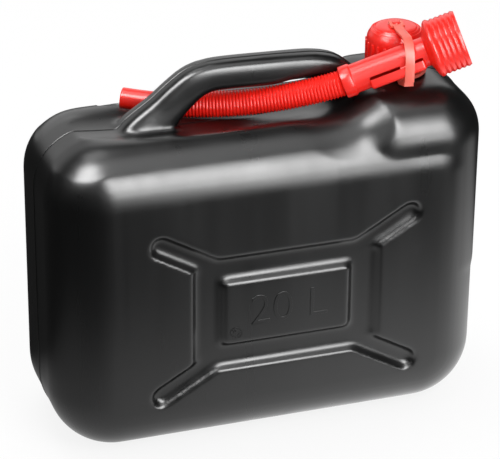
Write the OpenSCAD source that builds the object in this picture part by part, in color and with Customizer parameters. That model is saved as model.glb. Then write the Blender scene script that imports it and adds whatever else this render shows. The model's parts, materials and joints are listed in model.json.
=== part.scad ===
// Plastic fuel canister, nominal 20 litres: a blow-moulded tank with a moulded carry handle and a
// raised neck end, a screw cap held by a strap, and a pouring spout stored through the handle.
// Millimetres. X runs towards the neck end, the front face looks along -Y, and Z = 0 is the floor.

/* [Tank] */
// Length of the tank, end to end
tank_l = 442; // [425:1:475]
// Depth of the tank, front to back
tank_w = 180; // [174:2:196]
// Height of the tank's shoulder at the handle end
tank_h = 326; // [310:2:345]
// Radius of the tank's edges and upper corners
edge_r = 57; // [56:1:59]
// Radius of the tank's lower corners, seen from the front
low_r = 66; // [66:1:70]
// Height of the raised neck end above the shoulder
rise_h = 18; // [12:1:24]
// Length of the raised neck end
rise_l = 145.5; // [140:0.5:156]
// Radius of the raised end's edges
rise_r = 50; // [44:1:56]
// How far the raised end stands back from the tank's front and rear faces
rise_inset = 3; // [2:0.5:6]
// Wall thickness of the tank
wall = 3; // [2:0.25:3.75]

/* [Handle hollow] */
// Deepest point of the hollow along the top, under the handle
hollow_depth = 11; // [6:0.5:14]
// Cross radius of that hollow
hollow_r = 120; // [100:5:140]
// Length of that hollow
hollow_l = 340; // [320:5:360]
// Middle of that hollow from the middle of the grip
hollow_x = -38; // [-50:1:-30]

/* [Stiffening panel] */
// Middle of the panel from the middle of the tank
panel_x = 8; // [0:1:12]
// Height of the panel's middle above the floor
panel_z = 149; // [145:1:160]
// Length of the raised plate in the middle
plate_l = 128; // [110:1:136]
// Height of that plate
plate_h = 66; // [54:1:72]
// Width of the groove above and below the plate
groove_h = 29; // [24:0.5:32]
// Width of the groove at each end of the plate
groove_l = 32; // [26:0.5:36]
// Width of the diagonal grooves
arm_w = 23; // [18:0.5:26]
// Reach of the diagonal grooves from the panel's middle, along X
arm_reach_x = 127; // [120:1:130]
// Reach of the diagonal grooves from the panel's middle, along Z
arm_reach_z = 82; // [76:1:85]
// Depth of all grooves
groove_depth = 7; // [4:0.5:9]

/* [Carry handle] */
// Distance from the middle of the grip to the raised neck end
grip_back = 75.5; // [74:0.5:77]
// Thickness of the grip bar
grip_t = 27; // [24:0.5:28]
// Width of the grip bar, front to back
grip_w = 30; // [26:0.5:31]
// Height of the grip bar's middle above the shoulder
grip_z = 38.5; // [36:0.5:42]
// Rounding of the handle's long edges
grip_r = 9; // [5:0.5:11]

/* [Filler neck] */
// Distance of the neck's axis from the neck end of the tank
neck_from_end = 73; // [70:0.5:78]
// Outer radius of the neck, without its thread
neck_r = 24; // [20:0.25:25]
// Radius of the opening through the neck
neck_bore_r = 20; // [15:0.25:21]
// Height of the neck above the raised end
neck_h = 28; // [26:0.5:32]
// Height of the thread's ridge
thread_d = 2; // [1.2:0.1:2.4]
// Rise of the thread in one turn
thread_pitch = 5; // [4:0.25:6]
// Turns of thread on the neck
thread_turns = 2.25; // [1.5:0.25:2.5]

/* [Screw cap] */
// Wall of the cap's skirt behind its thread
skirt_wall = 2; // [1.6:0.1:2.2]
// Height of the grip ribs on the skirt
rib_d = 1.5; // [0.8:0.1:1.8]
// Radial clearance between the threads of the neck and of the cap
thread_gap = 0.5; // [0.3:0.05:0.7]
// Height of the cap's straight side
cap_side_h = 29.5; // [28:0.5:33]
// Height of the dome above that side
dome_h = 11; // [8:0.5:14]
// Wall of the dome and of the seal ring
cap_wall = 2.5; // [1.5:0.1:3]
// Number of grip ribs
rib_n = 24; // [12:1:36]
// Thickness of the sealing washers in the cap and in the spout
washer_t = 2; // [1:0.25:3]
// Radius of the knob that holds the strap
knob_r = 4; // [3:0.25:4.5]
// Height of that knob above the dome
knob_h = 3.5; // [2.5:0.25:4]

/* [Strap] */
// Width of the strap
strap_w = 9; // [6:0.5:11]
// Thickness of the strap
strap_t = 2; // [1.4:0.1:2.4]
// Turn of the strap about the neck's axis, away from straight ahead
strap_turn = 9; // [5:0.5:13]
// Spare room above the collar in the loop of the strap
strap_room = 2.3; // [1.8:0.1:3]
// Thickness of the ring round the neck
ring_t = 3; // [2:0.25:3.5]
// Outer radius of that ring
ring_r = 31; // [30:0.25:33]
// Clearance between pieces that move past each other
gap = 0.3; // [0.2:0.05:0.4]

/* [Spout] */
// Radius of the curve along which the spout lies
bend_r = 476; // [460:4:500]
// Outer radius of the stiff tube
tube_r = 14.5; // [12:0.25:15]
// Wall of the stiff tube, the hose and the tip
tube_wall = 1.8; // [1.2:0.1:2.4]
// Length of the stiff tube along the curve, from its collar to the cup
tube_l = 86; // [82:1:90]
// Outer radius of the collar that holds the hose
collar_r = 16; // [14:0.25:16.5]
// Length of that collar
collar_l = 11; // [8:0.5:14]
// Outer radius of the hose over its folds
hose_r = 13.5; // [11:0.25:14]
// Depth of the hose's folds
fold_d = 1.3; // [0.8:0.1:1.8]
// Length of the hose along the curve
hose_l = 165; // [150:1:175]
// Number of folds
fold_n = 50; // [40:1:60]
// Outer radius of the smooth tip
tip_r = 10.5; // [9:0.25:11]
// Length of the tip along the curve
tip_l = 54; // [46:1:62]
// Length of the tip's rim against the hose
rim_l = 6; // [4:0.5:10]
// Outer radius of the vent duct along the stiff tube
vent_r = 5; // [3.5:0.25:5.5]
// Wall of the cup
cup_wall = 1.6; // [1.2:0.1:2]
// Depth of the cup
cup_l = 27.5; // [24:0.5:30]
// Length of the cone between the stiff tube and the cup
cone_l = 10; // [8:0.5:14]
// Number of ridges round the cup
ridge_n = 5; // [3:1:6]
// Height of those ridges
ridge_d = 0.9; // [0.5:0.1:1.1]
// Width of the washer in the cup
seat_w = 8; // [5:0.5:9]

/* [Hidden] */

$fn = 64;
tiny = 0.01;
lap = 0.1;
rise_back = 0.6; // so that the raised end's face and the tank's never lie in one plane

// Levels and places that follow from the sizes above
rise_top = tank_h + rise_h;
neck_x = tank_l / 2 - neck_from_end;
grip_x = tank_l / 2 - rise_l - grip_back;
neck_top = rise_top + neck_h;
ring_z = rise_top + 1.5 + gap;
flange_z = ring_z + ring_t + gap;
flange_t = 2;
flange_r = neck_r + 3.5;
cap_z = flange_z + flange_t + 2 * gap;
cap_side_top = cap_z + cap_side_h;
cap_top = cap_side_top + dome_h;
cap_bore_r = neck_r + thread_d + thread_gap;
skirt_r = cap_bore_r + skirt_wall;
cap_r = skirt_r + rib_d;
cup_r = cap_bore_r;
thread_z = cap_z + 4;
washer_z = neck_top + gap;

// Handle stations: place from the grip's middle, height above the shoulder, slope, thickness, width
handle_stations = [
    [-116, -34, 54, 66, grip_w + 12],
    [-110, -17, 50, 53, grip_w + 8],
    [-103, -5, 46, 42, grip_w + 4],
    [-91, 6.5, 43, 36, grip_w + 1],
    [-76, grip_z - 17.5, 40, 33, grip_w],
    [-61, grip_z - 6, 31, 31, grip_w],
    [-46, grip_z - 1, 13, grip_t + 2, grip_w],
    [-26, grip_z - 0.2, 2, grip_t + 2, grip_w],
    [16, grip_z - 0.7, -1, grip_t + 1.5, grip_w],
    [42, grip_z + 1.3, -2, grip_t - 3.5, grip_w],
    [62, grip_z + 0.5, -11, grip_t - 4, grip_w],
    [80, grip_z - 7, -34, grip_t, grip_w],
    [92, grip_z - 25, -62, 38, grip_w + 2],
    [95, grip_z - 49, -84, 66, grip_w + 8],
    [96, grip_z - 71, -90, 84, grip_w + 12]
];

// The hose lies on a circle. This is the point where its collar begins, with the circle's direction
// there and the tilt of its plane. The stiff tube leaves the circle as a chord, tube_kink up from it.
spout_ahead = 82;
spout_front = 30.6;
spout_lift = 25.8;
spout_at = [grip_x + spout_ahead, -spout_front, tank_h + spout_lift];
spout_heading = -16.3;
spout_climb = 18.2;
spout_tilt = 28;
chord_l = 62;
tube_kink = chord_l / 2 / bend_r * 180 / PI;
washer_in = 1.2;
cup_at = tube_l + cone_l;
vent_turn = 20;

// Directions of the circle at that point, of its centre from there, and of the stiff tube
along = [cos(spout_climb) * cos(spout_heading), cos(spout_climb) * sin(spout_heading),
         sin(spout_climb)];
level = [-sin(spout_heading), cos(spout_heading), 0];
inward = cos(spout_tilt) * cross(along, level) + sin(spout_tilt) * level;
tube_dir = cos(tube_kink) * along + sin(tube_kink) * inward;

// The strap lies in a plane through the neck's axis: its direction ahead, and the point where the
// stiff tube's axis crosses that plane, as distance ahead and height
strap_ahead = [-sin(strap_turn), -cos(strap_turn), 0];
strap_across = [cos(strap_turn), -sin(strap_turn), 0];
neck_at = [neck_x, 0, 0];
cross_at = spout_at + tube_dir * ((neck_at - spout_at) * strap_across) / (tube_dir * strap_across);
cross_u = (cross_at - neck_at) * strap_ahead;
cross_z = cross_at[2];

// The strap's middle line, from its head over the cap to its hinge below the tube. Its loop has
// room for the collar to pass, at the slope that the tube has under the strap.
cross_slope = tube_dir[2] / (tube_dir * strap_across);
cross_sway = abs(tube_dir * strap_ahead) / (tube_dir * strap_across);
loop_w = collar_r + cross_sway * strap_w / 2 + 4 * gap + strap_t / 2;
loop_h = collar_r * sqrt(1 + pow(cross_slope, 2)) + cross_slope * strap_w / 2 + strap_room
         + strap_t / 2;
leg_u = cross_u + loop_w;
hinge_z = cross_z - collar_r - 0.5;
head_z = cap_top + gap + strap_t / 2;
head_l = knob_r + 2;
strap_line = concat(
    [[-head_l, head_z], [cap_r * 0.6, head_z]],
    [for (a = [88:-11:0]) [cross_u + loop_w * cos(a), cross_z + loop_h * sin(a)]],
    [[leg_u, hinge_z]]);

// ---------------------------------------------------------------- shapes that several pieces use

// Half section of a block with round edges: u runs out from its core, v across it
module round_section(w, r) {
    translate([0, r - w / 2]) square([r, w - 2 * r]);
    for (s = [-1, 1])
        translate([0, s * (w / 2 - r)]) intersection() {
            circle(r);
            translate([0, s > 0 ? 0 : -r]) square(r);
        }
}

// Block from x0 to x1 and z0 to z1, of width w about y = 0, with every edge and corner round. The two
// lower corners have their own, larger radius
module round_block(x0, x1, z0, z1, w, r, low_r) {
    translate([x0 + r, -w / 2, z0 + low_r]) cube([x1 - x0 - 2 * r, w, z1 - z0 - low_r - r]);
    translate([x0 + low_r, -w / 2, z0 + r]) cube([x1 - x0 - 2 * low_r, w, low_r - r + tiny]);
    for (m = [0, 1]) {
        corner_r = m == 0 ? low_r : r;
        translate([m == 0 ? x1 - r : x0 + r, 0, z0 + low_r]) rotate([0, 0, 180 * m])
            linear_extrude(z1 - z0 - low_r - r) round_section(w, r);
        translate([x0 + corner_r, 0, m == 0 ? z0 + r : z1 - r]) mirror([0, 0, 1 - m]) rotate([90, 0, 90])
            linear_extrude(x1 - x0 - 2 * corner_r) rotate(90) round_section(w, r);
    }
    for (c = [[x1 - r, z1 - r, 0], [x0 + r, z1 - r, 90]])
        translate([c[0], 0, c[1]]) rotate([0, -c[2], 0]) rotate([90, 0, 0])
            rotate_extrude(angle = 90, $fn = 96) round_section(w, r);
    for (c = [[x0 + low_r, z0 + low_r, 180], [x1 - low_r, z0 + low_r, 270]])
        translate([c[0], 0, c[1]]) rotate([0, -c[2], 0]) rotate([90, 0, 0])
            rotate_extrude(angle = 90, $fn = 96) {
                translate([0, -w / 2]) square([low_r - r, w]);
                translate([low_r - r, 0]) round_section(w, r);
            }
}

// Straight groove with round ends, in the plane of the panel. Its straight sides lie a little inside
// the round ends, so that they cross the arcs cleanly instead of only touching them
module groove_line(p, q, r) {
    d = q - p;
    side = r - lap;
    translate(p) circle(r);
    translate(q) circle(r);
    translate(p) rotate(atan2(d[1], d[0])) translate([0, -side]) square([norm(d), 2 * side]);
}

// Outline of all grooves of one panel, widened by grow on every side
module panel_outline(grow) {
    out_x = plate_l / 2 + groove_l;
    out_z = plate_h / 2 + groove_h;
    difference() {
        square([2 * (out_x + grow), 2 * (out_z - arm_w / 2 + grow)], center = true);
        square([plate_l - 2 * grow, plate_h - 2 * grow], center = true);
    }
    for (s = [-1, 1])
        translate([0, s * (plate_h + groove_h) / 2])
            square([2 * (out_x - groove_l + grow) + arm_w / 2, groove_h + 2 * grow], center = true);
    for (sx = [-1, 1], sz = [-1, 1])
        groove_line([sx * (out_x - arm_w), sz * (out_z - arm_w / 2)],
                    [sx * arm_reach_x, sz * arm_reach_z], arm_w / 2 + grow);
}

// The grooves of both panels as solids that start well outside the tank
module panel_grooves(grow) {
    depth = groove_depth + grow;
    for (s = [-1, 1])
        translate([panel_x, s * (tank_w / 2 - depth / 2 + wall), panel_z]) rotate([90, 0, 0])
            linear_extrude(depth + 2 * wall, center = true) panel_outline(grow);
}

// The long hollow under the handle, as a bent bar that dips into the top and stops short of the
// raised end
module handle_hollow(grow) {
    sweep_r = (hollow_l * hollow_l / 4 + hollow_depth * hollow_depth) / (2 * hollow_depth);
    stop_x = tank_l / 2 - rise_l + rise_r / 5 + grow;
    from = asin(-hollow_l / 2 / sweep_r) - 1;
    to = asin((stop_x - grip_x - hollow_x) / sweep_r);
    translate([grip_x + hollow_x, 0, tank_h - hollow_depth + sweep_r]) rotate([90, 0, 0])
        rotate([0, 0, 270 + from]) rotate_extrude(angle = to - from, $fn = 180)
            translate([sweep_r - hollow_r, 0]) circle(hollow_r + grow, $fn = 96);
}

// Puts its children on the spout's circle: at distance s along it, with +X along the tube and +Z
// towards the circle's centre
module on_spout(s) {
    translate(spout_at) rotate([0, 0, spout_heading]) rotate([0, -spout_climb, 0])
        rotate([-spout_tilt, 0, 0])
            translate([0, 0, bend_r]) rotate([0, -s / bend_r * 180 / PI, 0])
                translate([0, 0, -bend_r]) children();
}

// Solid of revolution about the tube's direction, from points [distance along it, radius]
module turned(points) {
    rotate([90, 0, 90]) rotate([0, 0, -90]) rotate_extrude()
        polygon([for (p = points) [p[1], p[0]]]);
}

// Puts its children on the stiff tube's axis, at distance d from the collar's outer face
module on_tube(d) {
    on_spout(0) rotate([0, -tube_kink, 0]) translate([d, 0, 0]) children();
}

// Round bar of radius r along the spout's circle, from distance a to distance b
module arc_bar(a, b, r) {
    turn = 180 / PI / bend_r;
    on_spout(0) translate([0, 0, bend_r]) rotate([90, 0, 0]) rotate([0, 0, 270 + a * turn])
        rotate_extrude(angle = (b - a) * turn, $fn = 360) translate([bend_r, 0]) circle(r, $fn = 48);
}

// Channels in the tank's top that give the stored spout room
module spout_channel(grow) {
    r = hose_r + 2 + grow;
    arc_bar(-hose_l - tip_l - 20 - grow, 4, r);
    on_tube(0) turned([[-4, 0], [-4, r], [4, r + 3.5], [tube_l * 0.7, r + 3.5], [tube_l * 0.7, 0]]);
}

// One turn-by-turn ridge: a band of trapezoid section on radius r, pointing out (side 1) or in (-1)
module thread_ridge(r, turns, side) {
    per_turn = 36;
    n = round(turns * per_turn);
    section = [[-0.3, -1.25], [thread_d, -0.55], [thread_d, 0.55], [-0.3, 1.25]];
    points = [for (i = [0:n], p = section)
        let (a = i * 360 / per_turn, rr = r + side * p[0])
            [rr * cos(a), rr * sin(a), i * thread_pitch / per_turn + p[1]]];
    sides = [for (i = [0:n - 1], k = [0:3], half = [0, 1])
        let (a = 4 * i + k, b = 4 * i + (k + 1) % 4,
             f = half == 0 ? [a, a + 4, b + 4] : [a, b + 4, b])
            side < 0 ? f : [f[0], f[2], f[1]]];
    ends = side < 0 ? [[0, 1, 2, 3], [4 * n + 3, 4 * n + 2, 4 * n + 1, 4 * n]]
                    : [[3, 2, 1, 0], [4 * n, 4 * n + 1, 4 * n + 2, 4 * n + 3]];
    polyhedron(points, concat(sides, ends), convexity = 6);
}

// Ring of points for one station of the handle, as a rectangle with round corners
function rounded_ring(t, w, r) = [
    for (c = [[1, 1, 0], [-1, 1, 90], [-1, -1, 180], [1, -1, 270]], k = [0:4])
        let (a = c[2] + k * 22.5)
            [c[0] * (t / 2 - r) + r * cos(a), c[1] * (w / 2 - r) + r * sin(a)]
];

// Body that runs through the handle's stations, thinner by shrink on every side
module handle_sweep(shrink) {
    ring_n = 20;
    last = len(handle_stations) - 1;
    points = [for (s = handle_stations, p = rounded_ring(s[3] - 2 * shrink, s[4] - 2 * shrink,
                                                         grip_r - shrink / 2))
        [grip_x + s[0] - sin(s[2]) * p[0], p[1], tank_h + s[1] + cos(s[2]) * p[0]]];
    sides = [for (i = [0:last - 1], k = [0:ring_n - 1], half = [0, 1])
        let (a = i * ring_n + k, b = i * ring_n + (k + 1) % ring_n)
            half == 0 ? [a, b, b + ring_n] : [a, b + ring_n, a + ring_n]];
    ends = [[for (k = [ring_n - 1:-1:0]) k], [for (k = [0:ring_n - 1]) last * ring_n + k]];
    polyhedron(points, concat(sides, ends), convexity = 6);
}

// ---------------------------------------------------------------- tank, handle and neck

module tank_blocks(inset) {
    end = tank_l / 2 - inset;
    round_block(-end, end, inset, tank_h - inset, tank_w - 2 * inset, edge_r - inset, low_r - inset);
    round_block(end + 2 * inset - rise_l, end - rise_back, tank_h / 3 + inset, rise_top - inset,
                tank_w - 2 * (rise_inset + inset), rise_r - inset, rise_r + lap - inset);
}

module tank_outside() {
    difference() {
        tank_blocks(0);
        handle_hollow(0);
        spout_channel(0);
    }
}

module tank_body() {
    color([0.08, 0.08, 0.085]) difference() {
        tank_outside();
        panel_grooves(0);
        difference() {
            tank_blocks(wall);
            handle_hollow(wall);
            spout_channel(wall);
            panel_grooves(wall);
        }
        translate([neck_x, 0, rise_top - 2 * wall]) cylinder(r = neck_bore_r, h = 3 * wall);
    }
}

module carry_handle() {
    color([0.08, 0.08, 0.085]) difference() {
        handle_sweep(0);
        handle_sweep(wall);
        tank_outside();
    }
}

module filler_neck() {
    color([0.08, 0.08, 0.085]) translate([neck_x, 0, 0]) {
        rotate_extrude() polygon([
            [neck_bore_r, rise_top], [neck_r + 4, rise_top], [neck_r, ring_z - gap],
            [neck_r, flange_z], [flange_r, flange_z], [flange_r, flange_z + flange_t],
            [neck_r, flange_z + flange_t], [neck_r, neck_top - 1], [neck_r - 1, neck_top],
            [neck_bore_r, neck_top]
        ]);
        translate([0, 0, thread_z]) thread_ridge(neck_r, thread_turns, 1);
    }
}

// ---------------------------------------------------------------- strap and its ring

// Puts its children in the strap's own frame: +X ahead of the neck's axis, +Y across the strap
module strap_frame() {
    translate([neck_x, 0, 0]) rotate([0, 0, -90 - strap_turn]) children();
}

module strap_ring() {
    arm_in = ring_r - ring_t;
    lug_u = leg_u - strap_t / 2 - gap;
    lug_top = hinge_z + 1;
    bend_u = cross_u - tube_r / 2;
    color([0.86, 0.28, 0.25]) strap_frame() difference() {
        union() {
            translate([0, 0, ring_z]) cylinder(r = ring_r, h = ring_t);
            rotate([90, 0, 0]) translate([0, 0, -strap_w / 2]) linear_extrude(strap_w) polygon([
                [arm_in, ring_z], [bend_u, ring_z], [lug_u, lug_top - 2 * ring_t], [lug_u, lug_top],
                [lug_u - 4, lug_top], [bend_u, ring_z + ring_t], [arm_in, ring_z + ring_t]]);
        }
        translate([0, 0, ring_z - 1]) cylinder(r = neck_r + 0.35, h = ring_t + 2);
    }
}

// Outline of a band of thickness t along a line of points
function band(line, t) =
    let (n = len(line) - 1,
         side = [for (i = [0:n])
            let (a = line[max(i - 1, 0)], b = line[min(i + 1, n)], d = (b - a) / norm(b - a))
                [-d[1], d[0]] * t / 2])
    concat([for (i = [0:n]) line[i] + side[i]], [for (i = [n:-1:0]) line[i] - side[i]]);

module retaining_strap() {
    head_w = strap_w + 5;
    color([0.9, 0.36, 0.33]) strap_frame() difference() {
        union() {
            rotate([90, 0, 0]) translate([0, 0, -strap_w / 2]) linear_extrude(strap_w) {
                polygon(band(strap_line, strap_t));
                translate([leg_u, hinge_z]) circle(strap_t / 2);
            }
            translate([-head_l, -head_w / 2, head_z - strap_t / 2]) cube([14, head_w, strap_t]);
        }
        translate([0, 0, cap_top]) cylinder(r = knob_r + gap, h = 3 * strap_t);
        translate([-2 * head_l, -knob_r - gap, cap_top])
            cube([2 * head_l, 2 * (knob_r + gap), 3 * strap_t]);
    }
}

// ---------------------------------------------------------------- screw cap

// Points of the dome's quarter curve, drawn in by inset from its outside
function dome_curve(inset) = [for (a = [0:15:90])
    [(skirt_r - inset) * pow(cos(a), 0.62), cap_side_top + (dome_h - inset) * sin(a)]];

module screw_cap() {
    seal_r = neck_r;
    ceiling = washer_z + washer_t;
    color([0.85, 0.13, 0.12]) translate([neck_x, 0, 0]) {
        difference() {
            union() {
                rotate_extrude() polygon(concat([[0, cap_z], [skirt_r, cap_z]], dome_curve(0)));
                for (i = [0:rib_n - 1]) rotate([0, 0, i * 360 / rib_n])
                    translate([skirt_r - 1, -1.2, cap_z]) cube([1 + rib_d, 2.4, cap_side_h - 2]);
                translate([0, 0, cap_top - 1]) cylinder(r = knob_r, h = knob_h);
                translate([0, 0, cap_top + knob_h - 1]) cylinder(r1 = knob_r, r2 = knob_r - 1, h = 1);
            }
            translate([0, 0, cap_z - tiny]) cylinder(r = cap_bore_r, h = cap_side_h - 2);
            rotate_extrude() polygon(concat([[0, cap_side_top - 3], [cap_bore_r, cap_side_top - 3]],
                                            dome_curve(cap_wall)));
        }
        rotate_extrude() polygon([[seal_r - cap_wall, ceiling], [seal_r, ceiling],
                                  [seal_r, cap_side_top + dome_h * 0.55],
                                  [seal_r - cap_wall, cap_side_top + dome_h * 0.72]]);
        translate([0, 0, thread_z - thread_pitch / 2]) thread_ridge(cap_bore_r, thread_turns, -1);
    }
}

module cap_washer() {
    color([0.12, 0.12, 0.12]) translate([neck_x, 0, washer_z]) difference() {
        cylinder(r = neck_r, h = washer_t);
        translate([0, 0, -1]) cylinder(r = neck_bore_r, h = washer_t + 2);
    }
}

// ---------------------------------------------------------------- spout

module spout_cup() {
    out_r = cup_r + cup_wall;
    pitch = cup_l / ridge_n;
    ridges = [for (i = [0:ridge_n - 1], p = [[0.15, 0], [0.4, 1], [0.6, 1], [0.85, 0]])
        [cone_l + (i + p[0]) * pitch, out_r + (p[1] - 1) * ridge_d]];
    color([0.85, 0.13, 0.12]) on_tube(tube_l) turned(concat(
        [[0, tube_r - tube_wall], [0, tube_r], [cone_l * 0.8, out_r - seat_w / 4]], ridges,
        [[cone_l + cup_l, out_r], [cone_l + cup_l, cup_r], [cone_l + washer_in, cup_r],
         [cone_l, cup_r - seat_w / 4], [cone_l, cup_r - seat_w / 2],
         [cone_l / 5, tube_r - tube_wall]]));
}

module spout_washer() {
    color([0.12, 0.12, 0.12]) on_tube(cup_at)
        turned([[washer_in, cup_r - seat_w], [washer_in, cup_r - gap / 2],
                [washer_in + washer_t, cup_r - gap / 2], [washer_in + washer_t, cup_r - seat_w]]);
}

module spout_tube() {
    bore_r = tube_r - tube_wall;
    vent_from = collar_l + 2;
    vent_to = tube_l - 2;
    color([0.85, 0.13, 0.12]) difference() {
        union() {
            on_spout(0) turned([[0, 0], [0, collar_r - 1], [1, collar_r], [collar_l - 2, collar_r],
                                [collar_l, tube_r], [collar_l, 0]]);
            on_tube(0) turned([[collar_l / 2, 0], [collar_l / 2, tube_r], [tube_l, tube_r],
                               [tube_l, 0]]);
            on_tube(0) rotate([-vent_turn, 0, 0]) translate([0, 0, 0.5 - tube_r])
                turned([[vent_from, 0], [vent_from, vent_r], [vent_to, vent_r], [vent_to, 0]]);
        }
        on_spout(0) turned([[-1, 0], [-1, hose_r - fold_d], [collar_l / 2, hose_r - fold_d],
                            [collar_l / 2, 0]]);
        on_tube(0) turned([[collar_l / 2 - 1, 0], [collar_l / 2 - 1, bore_r], [tube_l + 1, bore_r],
                           [tube_l + 1, 0]]);
    }
}

// Points of a swept hose wall: one ring of points for each [distance, radius]
module spout_hose() {
    sides = 20;
    pitch = hose_l / fold_n;
    outer = [for (i = [0:fold_n - 1], p = [[0.15, 0], [0.5, 1]])
        [(i + p[0]) * pitch - hose_l, hose_r - fold_d * (1 - p[1])]];
    start = [-hose_l, hose_r - fold_d];
    finish = [0, hose_r - fold_d];
    bore_r = hose_r - fold_d - tube_wall;
    bore = [for (k = [0:8]) [-hose_l * k / 8, bore_r]];
    outline = concat([start], outer, [finish], bore);
    n = len(outline);
    function place(s, r, a) =
        let (t = s / bend_r * 180 / PI, d = bend_r - r * cos(a))
            [d * sin(t), r * sin(a), bend_r - d * cos(t)];
    points = [for (q = outline, k = [0:sides - 1]) place(q[0], q[1], k * 360 / sides)];
    faces = [for (i = [0:n - 1], k = [0:sides - 1])
        let (a = i * sides + k, b = i * sides + (k + 1) % sides, j = ((i + 1) % n - i) * sides)
            [a, b, b + j, a + j]];
    color([0.85, 0.13, 0.12]) on_spout(0) polyhedron(points, faces, convexity = 8);
}

module spout_tip() {
    color([0.85, 0.13, 0.12]) difference() {
        union() {
            arc_bar(-hose_l - tip_l, -hose_l, tip_r);
            arc_bar(-hose_l - rim_l, -hose_l, hose_r - fold_d);
        }
        arc_bar(-hose_l - tip_l - 1, -hose_l + 1, tip_r - tube_wall);
    }
}

tank_body();
carry_handle();
filler_neck();
strap_ring();
retaining_strap();
screw_cap();
cap_washer();
spout_cup();
spout_washer();
spout_tube();
spout_hose();
spout_tip();
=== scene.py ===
"""Black blow-moulded fuel canister with its red flexible spout stored through the handle."""

import json
import logging
import math
from collections.abc import Callable, Iterator, Sequence
from contextlib import contextmanager
from dataclasses import dataclass
from enum import Enum

import bmesh
import bpy
from mathutils import Matrix, Vector


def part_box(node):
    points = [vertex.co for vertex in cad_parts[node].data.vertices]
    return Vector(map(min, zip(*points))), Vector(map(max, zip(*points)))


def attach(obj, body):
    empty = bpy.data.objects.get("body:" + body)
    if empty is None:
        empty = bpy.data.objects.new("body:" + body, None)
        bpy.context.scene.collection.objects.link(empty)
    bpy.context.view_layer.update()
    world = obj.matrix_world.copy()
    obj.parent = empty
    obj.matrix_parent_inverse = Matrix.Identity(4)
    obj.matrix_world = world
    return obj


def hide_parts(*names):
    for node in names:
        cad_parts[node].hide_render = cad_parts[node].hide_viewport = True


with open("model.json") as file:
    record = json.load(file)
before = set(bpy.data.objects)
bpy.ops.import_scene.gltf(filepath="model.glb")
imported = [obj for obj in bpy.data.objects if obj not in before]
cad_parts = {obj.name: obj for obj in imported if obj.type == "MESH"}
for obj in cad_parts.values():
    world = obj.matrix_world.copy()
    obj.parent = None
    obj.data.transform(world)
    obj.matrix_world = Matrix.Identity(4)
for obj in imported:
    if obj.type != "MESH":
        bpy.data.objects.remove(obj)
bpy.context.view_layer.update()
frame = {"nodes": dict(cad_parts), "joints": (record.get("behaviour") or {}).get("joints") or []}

log = logging.getLogger("canister")
MM = 0.001
WELD = 0.00001  # metres within which two points count as one
TINY = 0.000001  # metres beside a plane that still count as on it
Piece = bpy.types.Object
Tree = bpy.types.NodeTree
Socket = bpy.types.NodeSocket
Pair = tuple[float, float]
Triple = tuple[float, float, float]
Outline = tuple[Pair, ...]
Element = bmesh.types.BMVert | bmesh.types.BMEdge | bmesh.types.BMFace
Feeds = dict[str | int, object]


class Part(Enum):
    """Kinds of mesh element that can be picked in edit mode."""

    VERTS = "VERT"
    EDGES = "EDGE"
    FACES = "FACE"


class Body(Enum):
    """Bodies of the frame that pieces ride on."""

    CAN = "can"
    CAP = "cap"
    STRAP = "strap"
    SPOUT = "spout"


class Slot(Enum):
    """Material slots of the record."""

    BLACK = "black_hdpe"
    RED = "red_ldpe"
    PALE_RED = "pale_red_pe"
    RUBBER = "black_rubber"


# ---------------------------------------------------------------- modelling tools


def clear_selection() -> None:
    """Leaves edit mode and deselects every object."""
    if bpy.context.mode != "OBJECT":
        bpy.ops.object.mode_set(mode="OBJECT")
    bpy.ops.object.select_all(action="DESELECT")


def activate(piece: Piece) -> None:
    """Makes one object the only selected one and the active one.

    Args:
        piece: The object to work on next.
    """
    clear_selection()
    piece.select_set(True)
    bpy.context.view_layer.objects.active = piece


@contextmanager
def editing(piece: Piece) -> Iterator[None]:
    """Opens an object in edit mode with everything selected, and closes it afterwards.

    Args:
        piece: The mesh object to edit.
    """
    activate(piece)
    bpy.ops.object.mode_set(mode="EDIT")
    bpy.ops.mesh.select_mode(type=Part.VERTS.value)
    bpy.ops.mesh.select_all(action="SELECT")
    yield
    bpy.ops.object.mode_set(mode="OBJECT")


def pick(piece: Piece, part: Part, test: Callable[[Element], bool]) -> None:
    """Selects the elements that pass a test, in edit mode.

    Args:
        piece: The object that is open in edit mode.
        part: Whether vertices, edges or faces are picked.
        test: Says of one element whether it is picked.
    """
    bpy.ops.mesh.select_mode(type=part.value)
    bpy.ops.mesh.select_all(action="DESELECT")
    mesh = bmesh.from_edit_mesh(piece.data)
    mesh.normal_update()
    elements = {Part.VERTS: mesh.verts, Part.EDGES: mesh.edges, Part.FACES: mesh.faces}[part]
    for element in [element for element in elements if test(element)]:
        element.select_set(True)
    mesh.select_flush_mode()
    bmesh.update_edit_mesh(piece.data)


def face_outwards() -> None:
    """Selects everything in edit mode and turns the faces outwards."""
    bpy.ops.mesh.select_all(action="SELECT")
    bpy.ops.mesh.normals_make_consistent(inside=False)


def move_selected(piece: Piece, step: Matrix) -> None:
    """Moves the selected vertices by a matrix, in edit mode.

    Args:
        piece: The object that is open in edit mode.
        step: The matrix.
    """
    mesh = bmesh.from_edit_mesh(piece.data)
    bmesh.ops.transform(mesh, matrix=step, verts=[v for v in mesh.verts if v.select])
    bmesh.update_edit_mesh(piece.data)


def new_piece(name: str) -> Piece:
    """Names the object that was just added.

    Args:
        name: The object's name.

    Returns:
        The active object.
    """
    piece = bpy.context.object
    piece.name = name
    piece.data.name = name
    return piece


def settle(piece: Piece) -> None:
    """Puts an object's place into its mesh, so that its origin is the frame's.

    Args:
        piece: The object to settle.
    """
    activate(piece)
    bpy.ops.object.transform_apply(location=True, rotation=True, scale=True)


def place(piece: Piece, where: Matrix) -> None:
    """Moves a piece that was made at the origin to its place in the frame.

    Args:
        piece: The object to place.
        where: The matrix from its own axes to the frame's.
    """
    piece.matrix_world = where
    settle(piece)


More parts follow.
